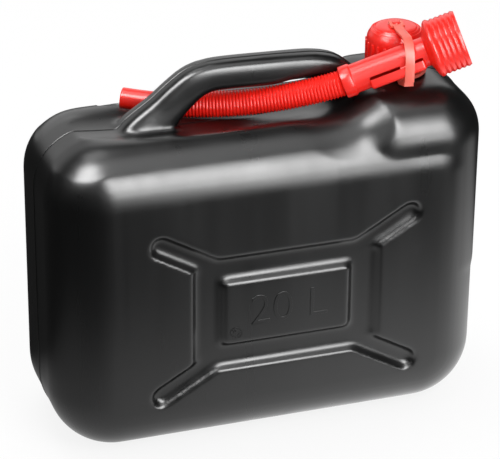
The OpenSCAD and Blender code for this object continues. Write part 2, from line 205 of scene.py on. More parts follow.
def finish_modifier(piece: Piece, kind: str, **settings: object) -> None:
    """Adds a modifier with its settings and applies it.

    Args:
        piece: The object to change.
        kind: Name of the modifier's type.
        **settings: Values of the modifier's properties.
    """
    activate(piece)
    modifier = piece.modifiers.new(kind.lower(), kind)
    for key, value in settings.items():
        setattr(modifier, key, value)
    bpy.ops.object.modifier_apply(modifier=modifier.name)


def combine(piece: Piece, tool: Piece,
            operation: str = "DIFFERENCE") -> None:
    """Cuts a tool out of a piece, or joins it to the piece, and removes the tool.

    Args:
        piece: The object to change.
        tool: The object that cuts or is added.
        operation: DIFFERENCE or UNION.
    """
    finish_modifier(piece, "BOOLEAN", operation=operation, solver="EXACT", object=tool)
    bpy.data.objects.remove(tool, do_unlink=True)


def join(piece: Piece, *others: Piece) -> None:
    """Joins other objects into a piece as loose shells.

    Args:
        piece: The object that receives them.
        *others: The objects that go into it.
    """
    activate(piece)
    for other in others:
        other.select_set(True)
    bpy.ops.object.join()


def smooth(piece: Piece, angle: float) -> None:
    """Shades a piece smooth, with sharp edges above an angle.

    Args:
        piece: The object to shade.
        angle: The largest angle that is still shaded smooth, in degrees.
    """
    activate(piece)
    bpy.ops.object.shade_smooth_by_angle(angle=math.radians(angle))


def primitive(name: str, kind: str, **settings: object) -> Piece:
    """Adds a basic mesh shape, with its origin at the frame's.

    Args:
        name: The object's name.
        kind: The shape's name, such as cube.
        **settings: The shape's settings.

    Returns:
        The object.
    """
    clear_selection()
    getattr(bpy.ops.mesh, f"primitive_{kind}_add")(**settings)
    piece = new_piece(name)
    settle(piece)
    return piece


def drawn_line(name: str, points: list[Pair]) -> Piece:
    """Draws a line of edges in the XZ plane, one vertex after another.

    Args:
        name: The object's name.
        points: Pairs of X and Z.

    Returns:
        The line as a mesh object.
    """
    line = primitive(name, "plane", size=0.01)
    with editing(line):
        bpy.ops.mesh.merge(type="CENTER")
        bpy.ops.transform.translate(value=(points[0][0], 0, points[0][1]))
        for (x0, z0), (x1, z1) in zip(points, points[1:]):
            bpy.ops.mesh.extrude_vertices_move(
                TRANSFORM_OT_translate={"value": (x1 - x0, 0, z1 - z0)})
    return line


def lathe(name: str, profile: list[Pair], segments: int = 64) -> Piece:
    """Turns a profile round the Z axis into a closed solid.

    Args:
        name: The object's name.
        profile: Pairs of radius and height, as a closed outline or from axis to axis.
        segments: Steps of the full turn.

    Returns:
        The solid, about the origin.
    """
    solid = drawn_line(name, profile)
    with editing(solid):
        bpy.ops.mesh.spin(steps=segments, angle=2 * math.pi, center=(0, 0, 0), axis=(0, 0, 1))
        bpy.ops.mesh.select_all(action="SELECT")
        bpy.ops.mesh.remove_doubles(threshold=2 * WELD)
        face_outwards()
    return solid


def close_ends(piece: Piece) -> None:
    """Closes the open ends of a swept piece and turns its faces outwards.

    Args:
        piece: The piece.
    """
    with editing(piece):
        pick(piece, Part.EDGES, lambda e: e.is_boundary)
        bpy.ops.mesh.edge_face_add()
        face_outwards()


def plain_box(name: str, size: Sequence[float],
              centre: Sequence[float] = (0, 0, 0)) -> Piece:
    """Makes a box with sharp edges.

    Args:
        name: The object's name.
        size: Its size.
        centre: Its middle.

    Returns:
        The box, in place.
    """
    box = primitive(name, "cube", size=1)
    place(box, Matrix.Translation(centre) @ Matrix.Diagonal((*size, 1)))
    return box


def soft_box(name: str, low: Vector, high: Vector, top_r: float, low_r: float,
             edge_r: float, segments: int = 24) -> Piece:
    """Makes a block with round corners seen from the front and round front and rear edges.

    Args:
        name: The object's name.
        low: Its lowest corner.
        high: Its highest corner.
        top_r: Radius of the two upper corners.
        low_r: Radius of the two lower corners.
        edge_r: Radius of the edges round the front and rear faces.
        segments: Steps of each rounding.

    Returns:
        The block.
    """
    centre, half = (low + high) / 2, (high - low) / 2
    block = plain_box(name, high - low, centre)

    def is_corner(edge: Element, upper: bool) -> bool:
        """Says whether an edge runs through one of the block's two upper or lower corners."""
        spot = edge.verts[0].co - centre
        return (abs(edge.verts[0].co.y - edge.verts[1].co.y) > WELD and (spot.z > 0) == upper
                and abs(abs(spot.x) - half.x) < WELD and abs(abs(spot.z) - half.z) < WELD)

    with editing(block):
        for upper, radius in ((True, top_r), (False, low_r)):
            pick(block, Part.EDGES, lambda e: is_corner(e, upper))
            bpy.ops.mesh.bevel(offset=radius, segments=segments, affect="EDGES")
        pick(block, Part.EDGES, lambda e: abs(e.verts[0].co.y - e.verts[1].co.y) < WELD)
        bpy.ops.mesh.bevel(offset=edge_r, segments=segments, affect="EDGES", clamp_overlap=False)
        face_outwards()
    return block


def tapered_box(name: str, size: Vector, draft: float) -> Piece:
    """Makes a box whose face towards +Y is smaller by a draft on every side.

    Args:
        name: The object's name.
        size: Its size, with the depth along Y.
        draft: How far each side leans in over the depth.

    Returns:
        The box, about the origin.
    """
    box = plain_box(name, size)
    with editing(box):
        pick(box, Part.FACES, lambda f: f.normal.y > 0.9)
        bpy.ops.transform.resize(value=(1 - 2 * draft / size.x, 1, 1 - 2 * draft / size.z),
                                 center_override=(0, size.y / 2, 0))
    return box


def tapered_slot(name: str, start: Vector, stop: Vector, radius: float, depth: float,
                 draft: float) -> Piece:
    """Makes a bar with round ends whose walls lean in towards +Y.

    Args:
        name: The object's name.
        start: Centre of its first end.
        stop: Centre of its other end.
        radius: Half its width at the wide face.
        depth: Its size along Y.
        draft: How much narrower each side is at the far face.

    Returns:
        The bar, in place.
    """
    bar = primitive(name, "cone", vertices=32, radius1=radius, radius2=radius - draft,
                    depth=depth, rotation=(-math.pi / 2, 0, 0), location=start)
    along = stop - start
    with editing(bar):
        pick(bar, Part.VERTS, lambda v: (v.co - start).dot(along.normalized()) > TINY)
        bpy.ops.transform.translate(value=along)
    return bar


# ---------------------------------------------------------------- materials


def feed(tree: Tree, node: bpy.types.Node, feeds: Feeds) -> None:
    """Links sockets to a node's inputs, or sets their values.

    Args:
        tree: The node tree.
        node: The node.
        feeds: A socket or a value for each input, by its name or number.
    """
    for key, value in feeds.items():
        if isinstance(value, Socket):
            tree.links.new(value, node.inputs[key])
        else:
            node.inputs[key].default_value = value


def add_node(tree: Tree, kind: str, feeds: Feeds,
             **settings: object) -> bpy.types.Node:
    """Adds a node, sets its properties and feeds its inputs.

    Args:
        tree: The node tree.
        kind: The node's type, without its first word.
        feeds: A socket or a value for each input, by its name or number.
        **settings: Values of the node's properties.

    Returns:
        The node.
    """
    node = tree.nodes.new("ShaderNode" + kind)
    for key, value in settings.items():
        setattr(node, key, value)
    feed(tree, node, feeds)
    return node


def math_node(tree: Tree, operation: str, *values: object) -> Socket:
    """Adds a Math node fed by sockets or numbers.

    Args:
        tree: The node tree.
        operation: The Math node's operation.
        *values: Sockets or numbers of its inputs.

    Returns:
        Its output socket.
    """
    return add_node(tree, "Math", dict(enumerate(values)), operation=operation).outputs[0]


def noise_node(tree: Tree, scale: object, stretch: Triple, detail: float) -> Socket:
    """Adds a noise on Object coordinates, stretched along the axes.

    Args:
        tree: The node tree.
        scale: Socket or number of the noise's scale.
        stretch: Factors on X, Y and Z before the noise.
        detail: The noise's detail.

    Returns:
        The noise's value.
    """
    where = add_node(tree, "TexCoord", {})
    mapping = add_node(tree, "Mapping", {"Scale": stretch, "Vector": where.outputs["Object"]})
    return add_node(tree, "TexNoise", {"Detail": detail, "Vector": mapping.outputs["Vector"],
                                       "Scale": scale}).outputs["Fac"]


def new_material(name: str) -> tuple[bpy.types.Material, Tree]:
    """Starts a node material.

    Args:
        name: The material's name.

    Returns:
        The material and its node tree.
    """
    material = bpy.data.materials.new(name)
    material.use_nodes = True
    return material, material.node_tree


def new_group(name: str, inputs: dict[str, float], output: str) -> Tree:
    """Starts a shader node group with number inputs and one number output.

    Args:
        name: The group's name.
        inputs: Names and default values of its inputs.
        output: Name of its output.

    Returns:
        The group, with its input and output nodes.
    """
    group = bpy.data.node_groups.new(name, "ShaderNodeTree")
    for key, value in inputs.items():
        socket = group.interface.new_socket(key, in_out="INPUT", socket_type="NodeSocketFloat")
        socket.default_value = value
    group.interface.new_socket(output, in_out="OUTPUT", socket_type="NodeSocketFloat")
    group.nodes.new("NodeGroupInput").name = "in"
    group.nodes.new("NodeGroupOutput").name = "out"
    return group


def streaks_group() -> None:
    """Builds the group for flow streaks that run down a blown wall."""
    group = new_group("flow_streaks", {"Scale": 60.0, "Strength": 1.0}, "Mask")
    source = group.nodes["in"].outputs
    fine = noise_node(group, source["Scale"], (1.0, 1.0, 0.05), 4.0)
    broad = noise_node(group, 14.0, (1.0, 1.0, 0.22), 2.0)
    mixed = math_node(group, "MULTIPLY_ADD", broad, 0.6, math_node(group, "MULTIPLY", fine, 0.4))
    centred = math_node(group, "SUBTRACT", mixed, 0.5)
    mask = math_node(group, "MULTIPLY", centred, source["Strength"])
    feed(group, group.nodes["out"], {"Mask": mask})


def grain_group() -> None:
    """Builds the group for the fine unevenness of a moulded surface."""
    group = new_group("moulded_grain", {"Scale": 400.0, "Waves": 30.0}, "Height")
    source = group.nodes["in"].outputs
    fine = noise_node(group, source["Scale"], (1.0, 1.0, 1.0), 2.0)
    waves = noise_node(group, source["Waves"], (1.0, 1.0, 0.5), 1.0)
    feed(group, group.nodes["out"], {"Height": math_node(group, "MULTIPLY_ADD", waves, 3.0, fine)})


def scuff_group() -> None:
    """Builds the group for sparse scuffs and dust, as a mask from 0 to 1."""
    group = new_group("scuffs", {"Scale": 35.0, "Cover": 0.35}, "Mask")
    source = group.nodes["in"].outputs
    patches = noise_node(group, source["Scale"], (1.0, 1.0, 1.0), 8.0)
    specks = noise_node(group, 900.0, (1.0, 1.0, 1.0), 2.0)
    limit = math_node(group, "SUBTRACT", 1.0, source["Cover"])
    over = math_node(group, "SUBTRACT", patches, limit)
    mask = math_node(group, "MULTIPLY", math_node(group, "MAXIMUM", over, 0.0), 4.0)
    speckled = math_node(group, "MULTIPLY", mask, specks)
    feed(group, group.nodes["out"], {"Mask": math_node(group, "MINIMUM", speckled, 1.0)})


@dataclass(frozen=True)
class MouldedPlastic:
    """Satin plastic with flow streaks, fine unevenness and a few scuffs.

    Attributes:
        name: Name of the material.
        slot: Slot of the record that it stands for; not used.
        colour: Its colour.
        worn: The colour that scuffs lighten it to.
        rough: Its roughness.
        streaks: How much the streaks change the roughness.
        grain: Height of the unevenness, in metres.
        scatter: Share of light that enters the surface.
        scuff_rough: How much scuffs add to the roughness.
        scatter_reach: How far red, green and blue light travel inside, in metres.
    """

    name: str
    slot: Slot
    colour: Triple
    worn: Triple
    rough: float
    streaks: float = 0.05
    grain: float = 0.00001
    scatter: float = 0.0
    scuff_rough: float = 0.12
    scatter_reach: Triple = (0.004, 0.001, 0.0008)

    def build(self) -> bpy.types.Material:
        """Builds the node material.

        Returns:
            The material.
        """
        material, tree = new_material(self.name)
        groups = bpy.data.node_groups
        streaks = add_node(tree, "Group", {"Strength": self.streaks},
                           node_tree=groups["flow_streaks"])
        grain = add_node(tree, "Group", {}, node_tree=groups["moulded_grain"])
        scuffs = add_node(tree, "Group", {}, node_tree=groups["scuffs"])
        mix = add_node(tree, "Mix", {"A": (*self.colour, 1), "B": (*self.worn, 1),
                                     "Factor": scuffs.outputs["Mask"]}, data_type="RGBA")
        rough = math_node(tree, "ADD", streaks.outputs["Mask"], self.rough)
        rough = math_node(tree, "MULTIPLY_ADD", scuffs.outputs["Mask"], self.scuff_rough, rough)
        height = math_node(tree, "MULTIPLY", grain.outputs["Height"], self.grain)
        bump = add_node(tree, "Bump", {"Distance": 1.0, "Strength": 1.0, "Height": height})
        shader = tree.nodes["Principled BSDF"]
        feed(tree, shader, {"Base Color": mix.outputs["Result"], "Roughness": rough,
                            "Normal": bump.outputs["Normal"]})
        if self.scatter:
            feed(tree, shader, {"Subsurface Weight": self.scatter, "Subsurface Scale": 1.0,
                                "Subsurface Radius": self.scatter_reach})
        return material

    def dress(self, *pieces: Piece) -> None:
        """Puts the finish on pieces.

        Args:
            *pieces: The objects to dress.
        """
        material = bpy.data.materials.get(self.name) or self.build()
        for piece in pieces:
            piece.data.materials.clear()
            piece.data.materials.append(material)


BLACK = MouldedPlastic("black_moulded", Slot.BLACK, (0.0020, 0.0021, 0.0022),
                       (0.0050, 0.0051, 0.0053), rough=0.30, streaks=0.25, grain=0.00003)
RED = MouldedPlastic("red_gloss", Slot.RED, (0.84, 0.012, 0.005), (0.86, 0.04, 0.018),
                     rough=0.28)
PALE_RED = MouldedPlastic("pale_red", Slot.PALE_RED, (0.78, 0.110, 0.070), (0.82, 0.2, 0.14),
                          rough=0.45, scatter=0.2)
RUBBER = MouldedPlastic("rubber", Slot.RUBBER, (0.02, 0.02, 0.02), (0.05, 0.05, 0.05),
                        rough=0.7, grain=0.00003)


# ---------------------------------------------------------------- places


def joint_place(name: str) -> tuple[Vector, Vector]:
    """Finds a joint's pivot and axis in the frame.

    Args:
        name: The joint's name.

    Returns:
        A point on its axis, and the axis's direction.
    """
    joint = next(j for j in frame["joints"] if j["name"] == name)
    return Vector(joint["pos_m"]), Vector(joint["axis"]).normalized()


def middle(node: str) -> Vector:
    """Finds the middle of a node's box.

    Args:
        node: The node's name.

    Returns:
        The box's middle.
    """
    low, high = (Vector(corner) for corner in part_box(node))
    return (low + high) / 2


def frame_of(origin: Vector, x: Vector, y: Vector, z: Vector) -> Matrix:
    """Builds the matrix that puts a piece's own axes on three directions.

    Args:
        origin: Where the piece's origin goes.
        x: Direction of its X axis.
        y: Direction of its Y axis.
        z: Direction of its Z axis.

    Returns:
        The matrix.
    """
    matrix = Matrix((x, y, z)).transposed().to_4x4()
    matrix.translation = origin
    return matrix


@dataclass
class SpoutLine:
    """The circle that the stored hose lies on, and the stiff tube that leaves it as a chord."""

    start_at: Triple = (0.082, -0.0306, 0.3518)
    chord: float = 0.062

    def __post_init__(self) -> None:
        """Works out the circle's directions at the start from the joint that the spout turns on."""
        self.start = Vector(self.start_at)
        self.centre, self.axis = joint_place("spout_out")
        self.radius = (self.centre - self.start).length
        self.inward = (self.centre - self.start).normalized()
        self.along = self.inward.cross(self.axis).normalized()
        self.kink = self.chord / 2 / self.radius

    def circle_frame(self) -> Matrix:
        """Gives the place at the start with X along the circle and Z towards its centre."""
        return frame_of(self.start, self.along, -self.axis, self.inward)

    def tube_frame(self) -> Matrix:
        """Gives the place at the start with Z along the stiff tube and Y along the joint's axis."""
        turn = Matrix.Rotation(self.kink, 3, self.axis)
        return frame_of(self.start, turn @ self.inward, self.axis, turn @ self.along)

    def distance_back(self, spot: Vector) -> float:
        """Measures how far back along the circle a point lies.

        Args:
            spot: The point, in the circle's own frame.

        Returns:
            The distance from the start, in metres.
        """
        return math.atan2(-spot.x, self.radius - spot.z) * self.radius

    def bar(self, name: str, start: float, stop: float, radius: float,
            steps: int) -> Piece:
        """Makes a round tube along the circle, still in the circle's own frame.

        Args:
            name: The object's name.
            start: Distance along the circle at which the tube starts.
            stop: Distance at which it ends, further back.
            radius: The tube's radius.
            steps: Rings along it.

        Returns:
            The tube, open at both ends.
        """
        bar = primitive(name, "circle", vertices=40, radius=radius, rotation=(0, math.pi / 2, 0))
        hub = (0, 0, self.radius)
        with editing(bar):
            move_selected(bar, Matrix.Translation(hub)
                          @ Matrix.Rotation(start / self.radius, 4, "Y")
                          @ Matrix.Translation((0, 0, -self.radius)))
            bpy.ops.mesh.spin(steps=steps, angle=(start - stop) / self.radius, center=hub,
                              axis=(0, 1, 0))
            bpy.ops.mesh.select_all(action="SELECT")
            bpy.ops.mesh.remove_doubles(threshold=WELD)
            face_outwards()
        return bar


# ---------------------------------------------------------------- sub-assemblies


def in_metres(outline: Sequence[Pair]) -> list[Pair]:
    """Turns an outline in millimetres into metres.

    Args:
        outline: Pairs of radius and height.

    Returns:
        The same pairs in metres.
    """
    return [(r * MM, z * MM) for r, z in outline]


@dataclass
class Tank:
    """The blown canister body with its handle, in one skin.

    Lengths are in metres; outlines and the handle's stations are in millimetres.
    """

    length: float = 0.4406
    width: float = 0.1784
    height: float = 0.326
    top_r: float = 0.057
    low_r: float = 0.066
    edge_r: float = 0.055
    edge_gap: float = 0.003
    rise: float = 0.018
    rise_length: float = 0.1455
    rise_width: float = 0.1724
    rise_r: float = 0.050
    hollow_depth: float = 0.011
    hollow_r: float = 0.120
    hollow_length: float = 0.340
    hollow_x: float = -0.038
    hollow_top: float = 0.6
    panel_x: float = 0.008
    panel_z: float = 0.149
    plate: Pair = (0.128, 0.066)
    groove_h: float = 0.029
    groove_l: float = 0.032
    arm_r: float = 0.0115
    arm_reach: Pair = (0.127, 0.082)
    groove_depth: float = 0.0070
    draft: float = 0.0036
    groove_voxel: float = 0.0018
    channel_r: float = 0.0155
    channel_span: Pair = (-0.006, 0.242)
    tube_room: Outline = ((0, -4), (15.5, -4), (19, 4), (19, 62), (10, 68), (0, 68))
    seam_half: float = 0.0008
    seam_height: float = 0.0006
    bore_r: float = 0.020
    bore_spare: float = 0.01
    floor_z: float = 0.004
    cavity: Triple = (0.209, 0.0755, 0.305)
    cavity_r: float = 0.045
    neck_x: float = 0.148
    voxel: float = 0.0027
    blend_reach: float = 0.026
    blend_spread: float = 0.25
    blend_flatness: float = 1.3
    blend_lift: float = 0.004
    blend_drop: float = 0.060
    blend_repeats: int = 110
    rim_y: Pair = (0.026, 0.075)
    rim_z: Pair = (-0.022, 0.002)
    rim_spare: float = 0.03
    rim_repeats: int = 40
    relaxed: int = 5
    grip: Triple = (0.027, 0.030, 0.0085)
    stations: tuple[tuple[float, float, float, float, float], ...] = (
        (-116, -34, 54, 66, 42), (-110, -17, 50, 53, 38), (-103, -5, 46, 42, 34),
        (-91, 6.5, 43, 36, 31), (-76, 21, 40, 33, 30), (-61, 32.5, 31, 31, 30),
        (-46, 37.5, 13, 29, 30), (-26, 38.3, 2, 29, 30), (16, 37.0, -1, 29.5, 30),
        (42, 37.6, -2, 26.0, 30), (62, 36.6, -11, 25, 30), (80, 30.5, -34, 27, 30),
        (92, 13.5, -62, 38, 32), (95, -10.5, -84, 66, 38), (96, -32.5, -90, 84, 42))
    fine_steps: int = 5
    shade: float = 50

    def __post_init__(self) -> None:
        """Works out where the raised end starts."""
        self.step_x = self.length / 2 - self.rise_length

    def blocks(self) -> Piece:
        """Builds the two blocks that make up the body, without its hollows.

        Returns:
            The body as one mesh.
        """
        end = self.length / 2
        half = self.width / 2
        body = soft_box("tank_skin", Vector((-end, -half, 0)), Vector((end, half, self.height)),
                        self.top_r, self.low_r, self.edge_r)
        half = self.rise_width / 2
        raised = soft_box("raised_end", Vector((self.step_x, -half, self.height / 3)),
                          Vector((end, half, self.height + self.rise)), self.rise_r, self.rise_r,
                          self.rise_r - self.edge_gap)
        combine(body, raised, "UNION")
        return body

    def hollow(self) -> Piece:
        """Builds the bent bar that cuts the long hollow under the handle.

        Returns:
            The cutter, in place.
        """
        sweep_r = (self.hollow_length ** 2 / 4 + self.hollow_depth ** 2) / (2 * self.hollow_depth)
        bar = primitive("hollow_cutter", "torus", major_radius=sweep_r - self.hollow_r,
                        minor_radius=self.hollow_r, major_segments=200, minor_segments=96,
                        rotation=(math.pi / 2, 0, 0),
                        location=(self.hollow_x, 0, self.height - self.hollow_depth + sweep_r))
        stop = self.step_x + self.rise_r / 5
        with editing(bar):
            for spot, normal in (((stop, 0, 0), (1, 0, 0)), ((0, 0, self.hollow_top), (0, 0, 1))):
                bpy.ops.mesh.select_all(action="SELECT")
                bpy.ops.mesh.bisect(plane_co=spot, plane_no=normal, clear_outer=True,
                                    use_fill=True)
            face_outwards()
        return bar

    def grooves(self) -> list[Piece]:
        """Builds the cutters of the grooves on both faces.

        Returns:
            The cutters, each in place.
        """
        cutters = []
        deep = self.groove_depth * 2
        draft = self.draft * 2
        half_l, half_h = self.plate[0] / 2, self.plate[1] / 2
        out_x, out_z = half_l + self.groove_l, half_h + self.groove_h
        for side in (-1, 1):
            bar = (2 * half_l + self.groove_l, self.groove_h)
            post = (self.groove_l, 2 * (out_z - self.arm_r))
            for (long, high), x, z in ((bar, 0, side * (half_h + self.groove_h / 2)),
                                       (post, side * (half_l + self.groove_l / 2), 0)):
                cutters.append(tapered_box("groove", Vector((long + draft, deep, high + draft)),
                                           draft))
                place(cutters[-1], Matrix.Translation((x, 0, z)))
            for lift in (-1, 1):
                start = Vector((side * (out_x - 2 * self.arm_r), 0, lift * (out_z - self.arm_r)))
                stop = Vector((side * self.arm_reach[0], 0, lift * self.arm_reach[1]))
                cutters.append(tapered_slot("groove", start, stop, self.arm_r + self.draft, deep,
                                            draft))
        front = cutters[0]
        join(front, *cutters[1:])
        finish_modifier(front, "REMESH", mode="VOXEL", voxel_size=self.groove_voxel)
        activate(front)
        bpy.ops.object.duplicate(linked=False)
        rear = new_piece("groove")
        place(rear, Matrix.Translation((self.panel_x, self.width / 2, self.panel_z))
              @ Matrix.Rotation(math.pi, 4, "Z"))
        place(front, Matrix.Translation((self.panel_x, -self.width / 2, self.panel_z)))
        return [front, rear]

    def channels(self) -> list[Piece]:
        """Builds the cutters of the channels that give the stored spout room.

        Returns:
            The cutters, each in place.
        """
        line = SpoutLine()
        bed = line.bar("hose_bed", *self.channel_span, self.channel_r, steps=60)
        close_ends(bed)
        place(bed, line.circle_frame())
        room = lathe("tube_bed", in_metres(self.tube_room))
        place(room, line.tube_frame())
        return [bed, room]

    def handle(self) -> Piece:
        """Builds the handle by extruding a rounded section from station to station.

        Returns:
            The handle, without its union with the body.
        """
        thick, wide, corner = self.grip
        bar = primitive("handle_skin", "plane", size=1, rotation=(0, math.pi / 2, 0))
        last = Matrix.Diagonal((1, wide, thick, 1))
        place(bar, last)
        with editing(bar):
            bpy.ops.mesh.bevel(offset=corner, segments=6, affect="VERTICES")
            bpy.ops.mesh.select_all(action="SELECT")
            for step, station in enumerate(self.fine_stations()):
                now = self.station_frame(*station)
                if step:
                    bpy.ops.mesh.extrude_region_move()
                move_selected(bar, now @ last.inverted())
                last = now
            face_outwards()
        return bar

    def fine_stations(self) -> list[tuple[float, ...]]:
        """Runs a smooth curve through the handle's stations.

        Returns:
            The stations with more of them in between.
        """
        rows = self.stations
        fine = []
        for i in range(len(rows) - 1):
            before, after = rows[max(i - 1, 0)], rows[min(i + 2, len(rows) - 1)]
            for k in range(self.fine_steps):
                t = k / self.fine_steps
                fine.append(tuple(
                    b + t * ((c - a) / 2 + t * (a - 2.5 * b + 2 * c - d / 2
                                                + t * (1.5 * (b - c) + (d - a) / 2)))
                    for a, b, c, d in zip(before, rows[i], rows[i + 1], after)))
        return fine + [rows[-1]]

    def station_frame(self, x: float, lift: float, slope: float, thick: float,
                      wide: float) -> Matrix:
        """Works out where the handle's unit section goes at one station.

        Args:
            x: Place along the tank, in millimetres.
            lift: Height above the shoulder, in millimetres.
            slope: Slope of the handle there, in degrees.
            thick: Thickness of the section, in millimetres.
            wide: Width of the section, in millimetres.

        Returns:
            The matrix from the unit section to its place.
        """
        spot = Matrix.Translation((x * MM, 0, self.height + lift * MM))
        turn = Matrix.Rotation(-math.radians(slope), 4, "Y")
        return spot @ turn @ Matrix.Diagonal((1, wide * MM, thick * MM, 1))

    def even_out(self, skin: Piece, test: Callable[[Vector], bool],
                 repeats: int) -> None:
        """Smooths one region of the skin, so that its shapes run into each other.

        Args:
            skin: The skin.
            test: Says of a point whether it is in the region.
            repeats: How often the region is smoothed.
        """
        with editing(skin):
            pick(skin, Part.VERTS, lambda v: test(v.co))
            bpy.ops.mesh.vertices_smooth(factor=0.5, repeat=repeats)

    def in_blend(self, spot: Vector) -> bool:
        """Says whether a point lies where the raised end rises out of the shoulder.

        Args:
            spot: The point.

        Returns:
            Whether it lies there.
        """
        lift = spot.z - self.height
        from_step = math.hypot(spot.x - self.step_x,
                               (lift - self.blend_lift) * self.blend_flatness)
        return (from_step < self.blend_reach + self.blend_spread * abs(spot.y)
                and lift > -self.blend_drop)

    def on_hollow_rim(self, spot: Vector) -> bool:
        """Says whether a point lies on the rim between the hollow and a shoulder.

        Args:
            spot: The point.

        Returns:
            Whether it lies there.
        """
        start_x = self.hollow_x - self.hollow_length / 2 - self.rim_spare
        return (start_x < spot.x < self.step_x and self.rim_y[0] < abs(spot.y) < self.rim_y[1]
                and self.rim_z[0] < spot.z - self.height < self.rim_z[1])

    def hollow_out(self, skin: Piece) -> None:
        """Cuts the inside and the neck's opening out of the skin.

        Args:
            skin: The skin.
        """
        end, half, top = self.cavity
        inside = soft_box("inside", Vector((-end, -half, self.floor_z)),
                          Vector((end, half, top)), self.cavity_r, self.cavity_r,
                          self.cavity_r - self.edge_gap, segments=6)
        combine(skin, inside)
        low, high = top - 2 * self.bore_spare, self.height + self.rise + self.bore_spare
        bore = lathe("bore", [(0, low), (self.bore_r, low), (self.bore_r, high), (0, high)])
        place(bore, Matrix.Translation((self.neck_x, 0, 0)))
        combine(skin, bore)

    def raise_seam(self, skin: Piece) -> None:
        """Raises the thin ridge where the halves of the mould met.

        Args:
            skin: The skin.
        """
        with editing(skin):
            for offset in (-self.seam_half, 0, self.seam_half):
                bpy.ops.mesh.select_all(action="SELECT")
                bpy.ops.mesh.bisect(plane_co=(0, offset, 0), plane_no=(0, 1, 0))
            pick(skin, Part.VERTS, lambda v: abs(v.co.y) < TINY and v.co.z > self.low_r / 4)
            bpy.ops.transform.shrink_fatten(value=self.seam_height)

    def build(self) -> Piece:
        """Builds the whole skin and replaces the two CAD solids that it stands for.

        Returns:
            The skin.
        """
        skin = self.blocks()
        for cutter in (self.hollow(), *self.grooves()):
            combine(skin, cutter)
        join(skin, self.handle())
        finish_modifier(skin, "REMESH", mode="VOXEL", voxel_size=self.voxel, adaptivity=0.0)
        self.even_out(skin, self.in_blend, self.blend_repeats)
        self.even_out(skin, self.on_hollow_rim, self.rim_repeats)
        finish_modifier(skin, "SMOOTH", factor=0.5, iterations=self.relaxed)
        self.raise_seam(skin)
        for cutter in self.channels():
            combine(skin, cutter)
        self.hollow_out(skin)
        smooth(skin, self.shade)
        BLACK.dress(skin)
        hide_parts("tank_body", "carry_handle")
        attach(skin, Body.CAN.value)
        return skin


@dataclass
class PlateMarks:
    """Raised volume mark and mould date dial on the front plate."""

    face: float = -0.0892
    proud: float = 0.0006
    volume_at: Pair = (0.010, 0.134)
    volume_size: float = 0.046
    thinner: float = -0.0006
    dial_at: Pair = (-0.044, 0.127)
    dial_r: float = 0.0065
    ring_shares: tuple[Pair, Pair] = ((1.0, 0.9), (0.5, 0.42))
    ticks: int = 12
    tick_width: float = 0.0009
    tick_share: float = 0.16
    tick_at: float = 0.76
    pointer_share: float = 0.7
    dial_turn: float = 0.4
    shade: float = 30

    def build(self) -> list[Piece]:
        """Builds both marks.

        Returns:
            The marks.
        """
        marks = [self.volume(), self.dial()]
        for mark in marks:
            smooth(mark, self.shade)
            BLACK.dress(mark)
            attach(mark, Body.CAN.value)
        return marks

    def volume(self) -> Piece:
        """Builds the plain volume mark.

        Returns:
            The mark.
        """
        clear_selection()
        bpy.ops.object.text_add(rotation=(math.pi / 2, 0, 0))
        text = bpy.context.object.data
        text.body = "20 L"
        text.size = self.volume_size
        text.align_x = "CENTER"
        text.extrude = self.proud
        text.offset = self.thinner
        text.bevel_depth = self.proud / 3
        bpy.ops.object.convert(target="MESH")
        mark = new_piece("volume_mark")
        mark.location = (self.volume_at[0], self.face + self.proud * 0.3, self.volume_at[1])
        settle(mark)
        return mark

    def dial(self) -> Piece:
        """Builds the dial: a rim, an inner ring, an arrow and ticks between the rings.

        Returns:
            The dial.
        """
        low, high = -self.proud, self.proud * 0.7
        rings = []
        for outer, inner in self.ring_shares:
            outer, inner = outer * self.dial_r, inner * self.dial_r
            rings.append(lathe("mould_dial", [(inner, low), (outer, low), (outer, high),
                                              (inner, high), (inner, low)], segments=48))
        dial = rings[0]
        join(dial, rings[1])
        marks = [(self.tick_share, self.tick_at)] * self.ticks + [(self.pointer_share, 0)]
        for step, (share, at) in enumerate(marks):
            tick = plain_box("tick", (self.tick_width, self.dial_r * share, high - low),
                             (0, self.dial_r * at, 0))
            place(tick, Matrix.Rotation(step * 2 * math.pi / self.ticks + self.dial_turn, 4, "Z"))
            join(dial, tick)
        place(dial, Matrix.Translation((self.dial_at[0], self.face, self.dial_at[1]))
              @ Matrix.Rotation(math.pi / 2, 4, "X"))
        return dial


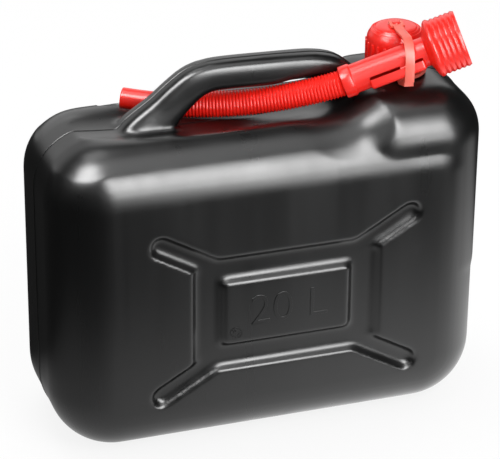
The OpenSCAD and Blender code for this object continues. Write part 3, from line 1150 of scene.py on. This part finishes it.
@dataclass
class ScrewCap:
    """Screw cap with grip ribs, stepped top, knob and inner thread; outlines in millimetres."""

    bore_r: float = 0.0265
    rib_count: int = 24
    rib_steps: int = 6
    rib_height: float = 0.0015
    rib_span: Pair = (0.003, 0.027)
    edge: float = 0.00035
    edge_angle: float = 38
    shade: float = 35
    thread_root: float = 0.0003
    thread_pitch: float = 0.005
    thread_turns: float = 2.25
    thread_steps: int = 90
    knob: Outline = ((0, 39.2), (4.0, 39.2), (4.0, 42.4), (3.4, 43.5), (2.4, 43.9), (0, 43.9))
    seal: Outline = ((21.5, 22.5), (24.0, 22.5), (24.0, 34.5), (21.5, 36.5), (21.5, 22.5))
    outline: Outline = (
        (26.5, 0), (28.1, 0), (28.5, 0.5), (28.5, 3), (28.5, 26), (28.5, 28.2), (28.2, 30.2),
        (27.5, 32.0), (26.6, 33.6), (25.8, 34.9), (25.3, 35.8), (24.9, 36.6), (24.4, 36.9),
        (24.0, 36.5), (23.6, 36.5), (22.6, 37.4), (22.0, 38.4), (21.5, 38.6), (21.0, 38.1),
        (20.6, 38.2), (20.1, 39.1), (19.4, 39.6), (14, 39.9), (6, 40.1), (0, 40.2))
    inside: Outline = (
        (0, 38.4), (18.5, 37.6), (21.5, 35.2), (24.0, 32.5), (26.0, 29.5), (26.5, 27.5),
        (26.5, 0))

    def build(self) -> Piece:
        """Builds the cap in place.

        Returns:
            The cap.
        """
        cap = lathe("cap_shell", in_metres(self.outline + self.inside),
                    self.rib_count * self.rib_steps)
        with editing(cap):
            pick(cap, Part.FACES, self.is_rib)
            bpy.ops.mesh.extrude_region_shrink_fatten(
                TRANSFORM_OT_shrink_fatten={"value": self.rib_height})
        finish_modifier(cap, "BEVEL", width=self.edge, segments=2, limit_method="ANGLE",
                        angle_limit=math.radians(self.edge_angle))
        join(cap, lathe("knob", in_metres(self.knob), segments=40),
             lathe("seal_rib", in_metres(self.seal)), self.thread())
        at = middle("cap_washer")
        bottom = Vector(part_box("screw_cap")[0]).z
        place(cap, Matrix.Translation((at.x, at.y, bottom)))
        smooth(cap, self.shade)
        RED.dress(cap)
        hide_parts("screw_cap")
        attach(cap, Body.CAP.value)
        return cap

    def is_rib(self, face: Element) -> bool:
        """Says whether a face of the side belongs to a grip rib.

        Args:
            face: The face.

        Returns:
            Whether the face is raised.
        """
        spot = face.calc_center_median()
        low, high = self.rib_span
        if math.hypot(spot.x, spot.y) < self.bore_r + MM or not low < spot.z < high:
            return False
        share = math.atan2(spot.y, spot.x) / (2 * math.pi) * self.rib_count % 1
        return share < 2 / self.rib_steps

    def thread(self) -> Piece:
        """Builds the ridge that runs round the inside of the skirt.

        Returns:
            The thread.
        """
        root = self.bore_r + self.thread_root
        ridge = drawn_line("inner_thread", [(root, 0.0015), (0.0247, 0.0022), (0.0247, 0.0033),
                                            (root, 0.0040), (root, 0.0015)])
        with editing(ridge):
            bpy.ops.mesh.remove_doubles(threshold=WELD)
        finish_modifier(ridge, "SCREW", axis="Z", angle=2 * math.pi * self.thread_turns,
                        screw_offset=self.thread_pitch * self.thread_turns,
                        steps=self.thread_steps, render_steps=self.thread_steps)
        close_ends(ridge)
        return ridge


@dataclass
class RetainingStrap:
    """Strap from the cap's knob over the stored spout down to its hinge."""

    width: float = 0.009
    thickness: float = 0.002
    head: Pair = (0.014, 0.014)
    head_back: float = 0.006
    knob_room: float = 0.0043
    slot_half: float = 0.005
    slot_reach: float = 0.012
    edge: float = 0.0005
    edge_angle: float = 40
    shade: float = 40
    loop: Pair = (0.018627, 0.022284)
    cross: Pair = (0.046277, 0.375681)
    head_z: float = 0.3935
    flat: Outline = ((-6, 0), (6, 0), (16, 0.1), (24, 1.1), (32, 2.5), (40, 3.8))

    def __post_init__(self) -> None:
        """Finds the cap's axis and the direction from it to the hinge."""
        self.hinge, self.across = joint_place("strap_open")
        self.neck = middle("cap_washer")
        self.neck.z = 0
        self.ahead = self.hinge - self.neck
        self.ahead.z = 0

    def line(self) -> list[Pair]:
        """Gives the strap's middle line as distance ahead of the cap's axis and height.

        Returns:
            The line's points.
        """
        (x, z), (length, height) = self.cross, self.loop
        reach = self.ahead.length
        turns = [math.radians(angle) for angle in range(90, -1, -6)]
        flat = [(ahead, self.head_z + lift) for ahead, lift in in_metres(self.flat)]
        curve = [(x + length * math.cos(a), z + height * math.sin(a)) for a in turns]
        return flat + curve + [(reach, (z + self.hinge.z) / 2), (reach, self.hinge.z)]

    def build(self) -> Piece:
        """Builds the strap in place.

        Returns:
            The strap.
        """
        strap = drawn_line("strap_band", self.line())
        with editing(strap):
            bpy.ops.transform.translate(value=(0, -self.width / 2, 0))
            bpy.ops.mesh.extrude_region_move(TRANSFORM_OT_translate={"value": (0, self.width, 0)})
        finish_modifier(strap, "SOLIDIFY", thickness=self.thickness, offset=0)
        combine(strap, plain_box("strap_head", (*self.head, self.thickness),
                                 (self.head[0] / 2 - self.head_back, 0, self.head_z)), "UNION")
        slot = lathe("slot", [(0, -self.slot_half), (self.knob_room, -self.slot_half),
                              (self.knob_room, self.slot_half), (0, self.slot_half)],
                     segments=32)
        with editing(slot):
            pick(slot, Part.VERTS, lambda v: v.co.x < -0.0001)
            bpy.ops.transform.translate(value=(-self.slot_reach, 0, 0))
        place(slot, Matrix.Translation((0, 0, self.head_z)))
        combine(strap, slot)
        finish_modifier(strap, "BEVEL", width=self.edge, segments=3, limit_method="ANGLE",
                        angle_limit=math.radians(self.edge_angle))
        place(strap, frame_of(self.neck, self.ahead.normalized(), self.across,
                              Vector((0, 0, 1))))
        smooth(strap, self.shade)
        PALE_RED.dress(strap)
        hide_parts("retaining_strap")
        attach(strap, Body.STRAP.value)
        return strap


@dataclass
class Spout:
    """Pouring spout: cup, stiff tube with its vent duct, corrugated hose and smooth tip.

    Lengths are in metres; outlines and the cup's ridges are in millimetres.
    """

    wall: float = 0.0018
    hose_wall: float = 0.00144
    hose_r: float = 0.0135
    fold_depth: float = 0.0013
    hose_l: float = 0.165
    folds: int = 50
    rings_per_fold: int = 4
    fold_shape: tuple[Pair, ...] = ((0.0, 1.0), (0.25, 0.55), (0.75, 0.55))
    tip_r: float = 0.0105
    tip_l: float = 0.054
    tip_rings: int = 54
    rim_l: float = 0.006
    edge: float = 0.0005
    ridges: int = 5
    ridge_from: float = 98.0
    ridge_pitch: float = 5.0
    duct: Triple = (0.0115, 0.0120, 0.0570)
    duct_at: Triple = (-0.01125, 0.0072, 0.0535)
    duct_edge: float = 0.003
    core: Outline = ((0, -10), (12.7, -10), (12.7, 100), (0, 100))
    recesses: tuple[Pair, Pair] = ((0.0265, 0.0575), (0.0715, 0.0810))
    recess_at: Pair = (-0.0070, 0.0131)
    recess_size: Pair = (0.0030, 0.0072)
    tube_edge: float = 0.0003
    edge_angle: float = 50
    shade: float = 35
    outline: Outline = (
        (13.6, 0), (15.2, 0), (15.8, 0.4), (16.0, 1.2), (16.0, 9.4), (15.6, 10.4), (14.7, 11.2),
        (14.5, 12.2), (14.5, 86), (12.7, 86), (12.7, 5.5), (12.3, 5.0), (12.3, 0.6), (13.6, 0))
    cup_base: Outline = (
        (12.7, 86), (14.5, 86), (15.3, 86.6), (17.5, 87.6), (22.0, 89.2), (26.2, 90.9),
        (28.3, 92.6), (28.9, 94.2), (28.7, 95.8), (27.7, 97.0))
    cup_ridge: Outline = (
        (27.0, 0), (27.3, 0.14), (27.9, 0.34), (28.1, 0.5), (27.9, 0.66), (27.3, 0.86))
    cup_rim: Outline = (
        (27.3, 123.0), (27.2, 123.5), (26.8, 123.5), (26.5, 123.2), (26.5, 97.2), (24.5, 96),
        (20.5, 95), (14.0, 89.5), (12.7, 88), (12.7, 86))

    def build(self) -> list[Piece]:
        """Builds the spout's pieces in place.

        Returns:
            The pieces.
        """
        line = SpoutLine()
        pieces = {"spout_cup": self.cup(), "spout_tube": self.tube(), "spout_hose": self.hose(line),
                  "spout_tip": self.tip(line)}
        for node, piece in pieces.items():
            own = line.circle_frame() if node in ("spout_hose", "spout_tip") else line.tube_frame()
            place(piece, own)
            smooth(piece, self.shade)
            RED.dress(piece)
            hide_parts(node)
            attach(piece, Body.SPOUT.value)
        return list(pieces.values())

    def cup(self) -> Piece:
        """Builds the ridged cup that screws on to the neck.

        Returns:
            The cup, in the tube's own frame.
        """
        ridges = tuple((r, self.ridge_from + (i + share) * self.ridge_pitch)
                       for i in range(self.ridges) for r, share in self.cup_ridge)
        return lathe("cup_shell", in_metres(self.cup_base + ridges + self.cup_rim),
                     segments=96)

    def tube(self) -> Piece:
        """Builds the stiff tube with its collar, its vent duct and the recesses beside the duct.

        Returns:
            The tube, in its own frame.
        """
        tube = lathe("stiff_tube", in_metres(self.outline), segments=72)
        duct = plain_box("vent_duct", self.duct, self.duct_at)
        finish_modifier(duct, "BEVEL", width=self.duct_edge, segments=6, limit_method="NONE")
        combine(duct, lathe("core", in_metres(self.core), segments=72))
        combine(tube, duct, "UNION")
        for low, high in self.recesses:
            combine(tube, plain_box("recess", (*self.recess_size, high - low),
                                    (*self.recess_at, (low + high) / 2)))
        finish_modifier(tube, "BEVEL", width=self.tube_edge, segments=2, limit_method="ANGLE",
                        angle_limit=math.radians(self.edge_angle))
        return tube

    def hose(self, line: SpoutLine) -> Piece:
        """Builds the corrugated hose.

        Args:
            line: The circle that it lies on.

        Returns:
            The hose, in the circle's frame.
        """
        hose = line.bar("corrugated_hose", 0.0, self.hose_l, self.hose_r,
                        self.folds * self.rings_per_fold)
        pitch = self.hose_l / self.folds
        with editing(hose):
            for share, depth in self.fold_shape:
                pick(hose, Part.VERTS, lambda v: abs(
                    (line.distance_back(v.co) / pitch + 0.5 - share) % 1 - 0.5) < 0.05)
                bpy.ops.transform.shrink_fatten(value=-self.fold_depth * depth)
        finish_modifier(hose, "SOLIDIFY", thickness=self.hose_wall, offset=-1)
        return hose

    def tip(self, line: SpoutLine) -> Piece:
        """Builds the smooth tip with its rim against the hose.

        Args:
            line: The circle that it lies on.

        Returns:
            The tip, in the circle's frame.
        """
        stop = self.hose_l + self.tip_l
        rim_r = self.hose_r - self.fold_depth
        tip = line.bar("smooth_tip", self.hose_l, stop, rim_r, self.tip_rings)
        with editing(tip):
            for start, step in ((self.hose_l + self.rim_l + self.edge, self.tip_r - rim_r),
                                (stop - self.edge, -self.edge)):
                pick(tip, Part.VERTS, lambda v: line.distance_back(v.co) > start)
                bpy.ops.transform.shrink_fatten(value=step)
        finish_modifier(tip, "SOLIDIFY", thickness=self.wall, offset=-1)
        return tip


@dataclass(frozen=True)
class Panel:
    """A white panel that only gloss sees, brightest in its middle.

    Attributes:
        name: The panel's name.
        where: Its middle.
        tilt: Its turn about the X axis, in degrees, from lying flat.
        size: Its width and height.
        glow: Its brightness.
        fade: How steeply it falls off at its edges.
        lean: Its turn about the Y axis, in degrees.
    """

    name: str
    where: Triple
    tilt: float
    size: Pair
    glow: float
    fade: float = 2.4
    lean: float = 0.0


PANELS = (Panel("front_box", (0.50, -1.6, 1.1), 90, (3.4, 1.1), 17, lean=66),
          Panel("left_box", (-0.78, -0.30, 1.3), 0, (1.3, 0.8), 26),
          Panel("low_box", (0.85, -1.6, 0.28), 90, (1.1, 0.55), 11),
          Panel("top_box", (0, -0.5, 2.3), 0, (3.0, 1.6), 2.6),
          Panel("backdrop", (0, 2.2, 1.4), 90, (5.0, 2.4), 1.2, fade=4))


@dataclass
class Studio:
    """Camera, pale floor and soft lights."""

    stand: Triple = (-0.7396, -2.1874, 1.3666)
    heading: float = 18.66
    pitch: float = 27.0
    roll: float = 0.0097
    lens: float = 187.1
    floor_colour: float = 0.93
    floor_rough: float = 0.9
    floor_glow: float = 0.85
    patch_at: Pair = (0.35, -0.12)
    patch_size: Pair = (0.9, 0.36)
    patch_glow: float = 2.2
    far_glow: float = 0.03
    ambient: float = 0.75
    ambient_gloss: float = 0.06
    aim: Triple = (0, 0, 0.25)

    def camera(self) -> None:
        """Adds the camera at the angle from which the canister is shown."""
        data = bpy.data.cameras.new("camera")
        data.lens = self.lens
        data.clip_end = 50
        camera = bpy.data.objects.new("camera", data)
        bpy.context.collection.objects.link(camera)
        yaw, pitch = -math.radians(self.heading), math.radians(self.pitch)
        turn = Matrix.Rotation(yaw, 4, "Z") @ Matrix.Rotation(math.pi / 2 - pitch, 4, "X")
        camera.matrix_world = (Matrix.Translation(self.stand) @ turn
                               @ Matrix.Rotation(self.roll, 4, "Z"))
        bpy.context.scene.camera = camera

    def floor(self) -> None:
        """Adds the pale floor, which gloss sees as a bright patch in front of the canister."""
        floor = primitive("floor", "plane", size=14)
        material, tree = new_material("pale_floor")
        shader = tree.nodes["Principled BSDF"]
        feed(tree, shader, {"Roughness": self.floor_rough, "Specular IOR Level": 0.0,
                            "Base Color": (*[self.floor_colour] * 3, 1)})
        path = add_node(tree, "LightPath", {}).outputs
        near = self.nearness(tree, (*self.patch_at, 0), (*self.patch_size, 1))
        gloss = math_node(tree, "MULTIPLY_ADD", near, self.patch_glow, self.far_glow)
        gloss = math_node(tree, "MULTIPLY", gloss, path["Is Glossy Ray"])
        strength = math_node(tree, "ADD", gloss, path["Is Camera Ray"])
        glow = add_node(tree, "Emission", {"Strength": strength})
        seen = math_node(tree, "MULTIPLY_ADD", path["Is Camera Ray"], self.floor_glow,
                         path["Is Glossy Ray"])
        mix = add_node(tree, "MixShader", {"Fac": seen, 1: shader.outputs["BSDF"],
                                           2: glow.outputs["Emission"]})
        feed(tree, tree.nodes["Material Output"], {"Surface": mix.outputs["Shader"]})
        floor.data.materials.append(material)

    def nearness(self, tree: Tree, where: tuple[float, ...],
                 reach: tuple[float, ...], lean: float = 0.0) -> Socket:
        """Adds a value that falls from 1 at a point to 0 at a reach around it.

        Args:
            tree: The node tree of the surface.
            where: The point.
            reach: How far the value stays above 0 along each axis.
            lean: Turn of those axes about Y, in degrees.

        Returns:
            The value.
        """
        spot = add_node(tree, "TexCoord", {})
        mapping = add_node(tree, "Mapping", {
            "Vector": spot.outputs["Object"], "Location": where, "Scale": reach,
            "Rotation": (0, math.radians(lean), 0)}, vector_type="TEXTURE")
        return add_node(tree, "TexGradient", {"Vector": mapping.outputs["Vector"]},
                        gradient_type="SPHERICAL").outputs["Fac"]

    def light_panel(self, kind: Panel) -> None:
        """Adds a panel.

        Args:
            kind: What the panel is like.
        """
        panel = primitive(kind.name, "plane", size=1)
        panel.scale = (*kind.size, 1)
        settle(panel)
        place(panel, Matrix.Translation(kind.where)
              @ Matrix.Rotation(math.radians(kind.lean), 4, "Y")
              @ Matrix.Rotation(math.radians(kind.tilt), 4, "X"))
        material, tree = new_material(kind.name)
        tree.nodes.clear()
        wide, high = kind.size
        near = self.nearness(tree, kind.where, (wide / 2, high / 2, high / 2), kind.lean)
        even = math_node(tree, "MINIMUM", math_node(tree, "MULTIPLY", near, kind.fade), 1.0)
        strength = math_node(tree, "MULTIPLY", even, kind.glow)
        glow = add_node(tree, "Emission", {"Strength": strength})
        add_node(tree, "OutputMaterial", {"Surface": glow.outputs["Emission"]})
        panel.data.materials.append(material)
        panel.visible_camera = panel.visible_diffuse = panel.visible_shadow = False

    def lamp(self, name: str, where: Vector, slope: Vector, size: float,
             power: float) -> None:
        """Adds one soft square light that faces the canister.

        Args:
            name: The light's name.
            where: Its place.
            slope: Direction that its sides follow as far as they can.
            size: Its width and its length.
            power: Its power in watts.
        """
        data = bpy.data.lights.new(name, "AREA")
        data.shape = "RECTANGLE"
        data.size = data.size_y = size
        data.energy = power
        lamp = bpy.data.objects.new(name, data)
        back = (where - Vector(self.aim)).normalized()
        long_side = (slope - back * slope.dot(back)).normalized()
        lamp.matrix_world = frame_of(where, long_side.cross(back), long_side, back)
        bpy.context.collection.objects.link(lamp)

    def surroundings(self) -> None:
        """Adds even light from all round, which gloss hardly sees."""
        world = bpy.data.worlds.new("surroundings")
        world.use_nodes = True
        tree = world.node_tree
        path = add_node(tree, "LightPath", {})
        dim = math_node(tree, "SUBTRACT", 1.0, path.outputs["Is Glossy Ray"])
        strength = math_node(tree, "MULTIPLY_ADD", dim, self.ambient, self.ambient_gloss)
        feed(tree, tree.nodes["Background"], {"Strength": strength, "Color": (1, 1, 1, 1)})
        bpy.context.scene.world = world
        bpy.context.scene.view_settings.view_transform = "Standard"

    def build(self) -> None:
        """Builds the camera, the floor, the lights and the surroundings."""
        self.camera()
        self.floor()
        self.lamp("key", Vector((0.35, -1.45, 1.3)), Vector((0, 0, 1)), 0.9, 13)
        self.lamp("overhead", Vector((-0.3, 0.5, 2.2)), Vector((0, 1, 0)), 1.0, 12)
        for kind in PANELS:
            self.light_panel(kind)
        self.surroundings()


def main() -> None:
    """Builds the canister and its surroundings."""
    logging.basicConfig(level=logging.INFO, format="%(name)s: %(message)s")
    Studio().build()
    for group in (streaks_group, grain_group, scuff_group):
        group()
    pieces = [Tank().build(), *PlateMarks().build(), ScrewCap().build(), RetainingStrap().build(),
              *Spout().build()]
    for piece in pieces:
        log.info("%s: %d faces", piece.name, len(piece.data.polygons))
    BLACK.dress(frame["nodes"]["filler_neck"])
    PALE_RED.dress(frame["nodes"]["strap_ring"])
    RUBBER.dress(frame["nodes"]["cap_washer"], frame["nodes"]["spout_washer"])


if __name__ == "__main__":
    main()
